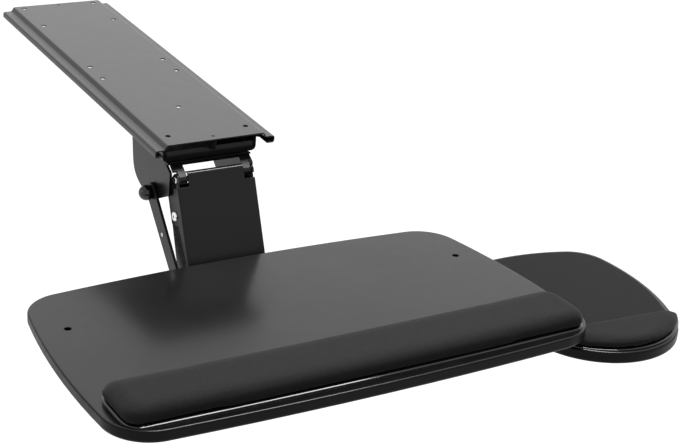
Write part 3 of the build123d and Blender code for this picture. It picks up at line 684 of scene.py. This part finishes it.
def slope_rim(piece):
    """Slopes the upper rim of a flat plate to the outside, and rounds its edges."""
    pick(piece, "polygons", lambda face: face.normal.z > LEVEL_FACE)
    bpy.ops.mesh.inset(thickness=LIP_SLOPE_WIDTH)
    bpy.ops.transform.translate(value=(0, 0, LIP_SLOPE_RISE))
    finish_edit()
    for level in (0, LIP_SIDE):
        round_edges(
            piece,
            lambda edge: at_height(piece, edge, level) and beside_wall(piece, edge),
            LIP_ROUND, segments=3,
        )
    take(piece)
    bpy.ops.object.shade_smooth_by_angle(angle=SMOOTH_ANGLE)


def hold_foot(piece, foot):
    """Keeps the foot of a cover flat."""
    placed = coordinates(piece)
    placed[:, 2] = np.maximum(placed[:, 2], foot)
    set_coordinates(piece, placed)


def stuff(piece, swell):
    """Swells a closed cover with a short cloth simulation, by no more than its limit."""
    start = coordinates(piece)
    take(piece)
    stuffing = piece.modifiers.new("cloth", "CLOTH")
    stuffing.settings.use_pressure = True
    stuffing.settings.uniform_pressure_force = STUFFING_PRESSURE
    stuffing.settings.effector_weights.gravity = 0
    scene = bpy.context.scene
    for number in range(1, STUFFING_FRAMES + 1):
        scene.frame_set(number)
    bpy.ops.object.modifier_apply(modifier=stuffing.name)
    scene.frame_set(1)
    moved = coordinates(piece) - start
    length = np.maximum(np.linalg.norm(moved, axis=1, keepdims=True), TINY)
    moved *= np.minimum(1.0, swell / length)
    set_coordinates(piece, start + moved)


def upholster(piece, voxel, swell):
    """Gives a closed form an even mesh, and swells it like a cover with a flat foot."""
    apply_modifier(piece, "REMESH", mode="VOXEL", voxel_size=voxel)
    foot = coordinates(piece)[:, 2].min()
    stuff(piece, swell)
    hold_foot(piece, foot)
    apply_modifier(piece, "SMOOTH", factor=SMOOTHING, iterations=SMOOTHING_ROUNDS)
    hold_foot(piece, foot)
    apply_modifier(piece, "SUBSURF", levels=1, render_levels=1)
    take(piece)
    bpy.ops.object.shade_smooth()


def slope_top(piece, rear_reach, rear_fall, end_reach, end_fall):
    """Lets the top of a cover fall off to its rear and to both ends."""
    for axis, side, reach, fall in (
        (1, 1, rear_reach, rear_fall),
        (0, -1, end_reach, end_fall),
        (0, 1, end_reach, end_fall),
    ):
        placed = coordinates(piece)
        along = placed[:, axis] * side
        near = np.clip((along - along.max() + reach) / reach, 0, 1)
        placed[:, 2] *= 1 - fall * near ** FALL_CURVE
        set_coordinates(piece, placed)


def make_palm_lip():
    low, high = span_in("palm_base", tray_turn)
    piece = long_plate("palm_rest_lip", low, high, LIP_SIDE, PALM_CORNER)
    slope_rim(piece)
    seat(piece, tray_turn, low, high)
    dress(piece, BASE_GLOSS)
    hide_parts("palm_base")
    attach(piece, "head")


def make_palm_rest():
    low, high = span_in("palm_pad", tray_turn)
    low += Vector((PALM_END_INSET, PALM_FRONT_INSET, 0))
    high -= Vector((PALM_END_INSET, PALM_REAR_INSET, 0))
    top = PALM_HEIGHT - FOAM_SEAT
    piece = long_plate("palm_rest_cover", low, high, top, PALM_COVER_CORNER)
    round_edges(
        piece,
        lambda edge: at_height(piece, edge, top) and beside_wall(piece, edge),
        PALM_CROWN, segments=6,
    )
    upholster(piece, PALM_VOXEL, PALM_SWELL)
    slope_top(piece, PALM_REAR_REACH, PALM_REAR_FALL, PALM_END_REACH, PALM_END_FALL)
    seat(piece, tray_turn, low, high, lift=FOAM_SEAT)
    dress(piece, PALM_CLOTH)
    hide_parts("palm_pad")
    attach(piece, "head")


def make_mouse_palm_lip():
    low, high = span_in("mouse_palm_base", mouse_turn)
    piece = half_moon("mouse_palm_rest_lip", low, high, 0, LIP_SIDE)
    slope_rim(piece)
    seat(piece, mouse_turn, low, high)
    dress(piece, BASE_GLOSS)
    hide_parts("mouse_palm_base")
    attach(piece, "mouse")


def make_mouse_palm_rest():
    low, high = span_in("mouse_palm_pad", mouse_turn)
    top = MOUSE_PALM_HEIGHT - FOAM_SEAT
    piece = half_moon("mouse_palm_rest_cover", low, high, MOUSE_PALM_INSET, top)
    round_edges(piece, lambda edge: at_height(piece, edge, top), MOUSE_PALM_CROWN, segments=5)
    upholster(piece, MOUSE_PALM_VOXEL, MOUSE_PALM_SWELL)
    slope_top(
        piece, MOUSE_PALM_REAR_REACH, MOUSE_PALM_REAR_FALL,
        MOUSE_PALM_END_REACH, MOUSE_PALM_END_FALL,
    )
    seat(piece, mouse_turn, low, high, lift=FOAM_SEAT)
    dress(piece, PALM_CLOTH)
    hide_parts("mouse_palm_pad")
    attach(piece, "mouse")


make_palm_lip()
make_palm_rest()
make_mouse_palm_lip()
make_mouse_palm_rest()


# Camera and studio


def make_camera():
    data = bpy.data.cameras.new("camera")
    data.lens = CAMERA_LENS
    data.sensor_width = CAMERA_SENSOR
    data.clip_start = CAMERA_NEAR
    data.clip_end = CAMERA_FAR
    camera = bpy.data.objects.new("camera", data)
    bpy.context.scene.collection.objects.link(camera)
    ahead = Vector((
        sin(CAMERA_BEARING) * cos(CAMERA_DROP),
        cos(CAMERA_BEARING) * cos(CAMERA_DROP),
        -sin(CAMERA_DROP),
    ))
    lean = Quaternion((0, 0, 1), CAMERA_LEAN)
    camera.location = CAMERA_PLACE
    camera.rotation_mode = "QUATERNION"
    camera.rotation_quaternion = ahead.to_track_quat("-Z", "Y") @ lean
    bpy.context.scene.camera = camera


def seen_directly(tree):
    """1 for rays from the camera and for what gloss and glass show, 0 for the rest."""
    path = node_in(tree, "ShaderNodeLightPath")
    shown = math_node(
        tree, "MAXIMUM", path.outputs["Is Camera Ray"], path.outputs["Is Glossy Ray"],
    )
    return math_node(tree, "MAXIMUM", shown, path.outputs["Is Transmission Ray"])


def floor_material():
    """A pale floor that looks white, takes the shadow and throws no light of its own."""
    material, tree, shader = new_material("studio_floor", specular=0.0)
    shader.inputs["Base Color"].default_value = grey(FLOOR_LEVEL)
    shader.inputs["Roughness"].default_value = FLOOR_ROUGHNESS
    shader.inputs["Emission Color"].default_value = (1, 1, 1, 1)
    glow = math_node(tree, "MULTIPLY", seen_directly(tree), FLOOR_GLOW)
    feed(tree, shader.inputs["Emission Strength"], glow)
    return material


def make_floor():
    start_clean()
    floor_height = cad_box[0].z - FLOOR_DROP
    bpy.ops.mesh.primitive_plane_add(size=FLOOR_SIZE, location=(0, 0, floor_height))
    floor = bpy.context.object
    floor.name = "studio_floor"
    fix_place(floor)
    dress(floor, floor_material())


def make_world():
    """White where it is seen, and a low even light on the object."""
    world = bpy.data.worlds.new("studio")
    world.use_nodes = True
    bpy.context.scene.world = world
    tree = world.node_tree
    background = tree.nodes["Background"]
    strength = span_node(
        tree, seen_directly(tree), low=0.0, high=1.0, to_low=ROOM_FILL, to_high=1.0,
    )
    feed(tree, background.inputs["Color"], (1, 1, 1, 1))
    feed(tree, background.inputs["Strength"], strength)


def soft_lamp(name, place, aim, size, power):
    data = bpy.data.lights.new(name, "AREA")
    data.shape = "RECTANGLE"
    data.size, data.size_y = size
    data.energy = power
    lamp = bpy.data.objects.new(name, data)
    bpy.context.scene.collection.objects.link(lamp)
    lamp.visible_camera = False
    lamp.location = place
    lamp.rotation_mode = "QUATERNION"
    lamp.rotation_quaternion = (Vector(aim) - Vector(place)).to_track_quat("-Z", "Y")


make_camera()
make_floor()
make_world()
for name, (place, aim, size, power) in LAMPS.items():
    soft_lamp(name, place, aim, size, power)

bpy.context.scene.view_settings.view_transform = "Standard"
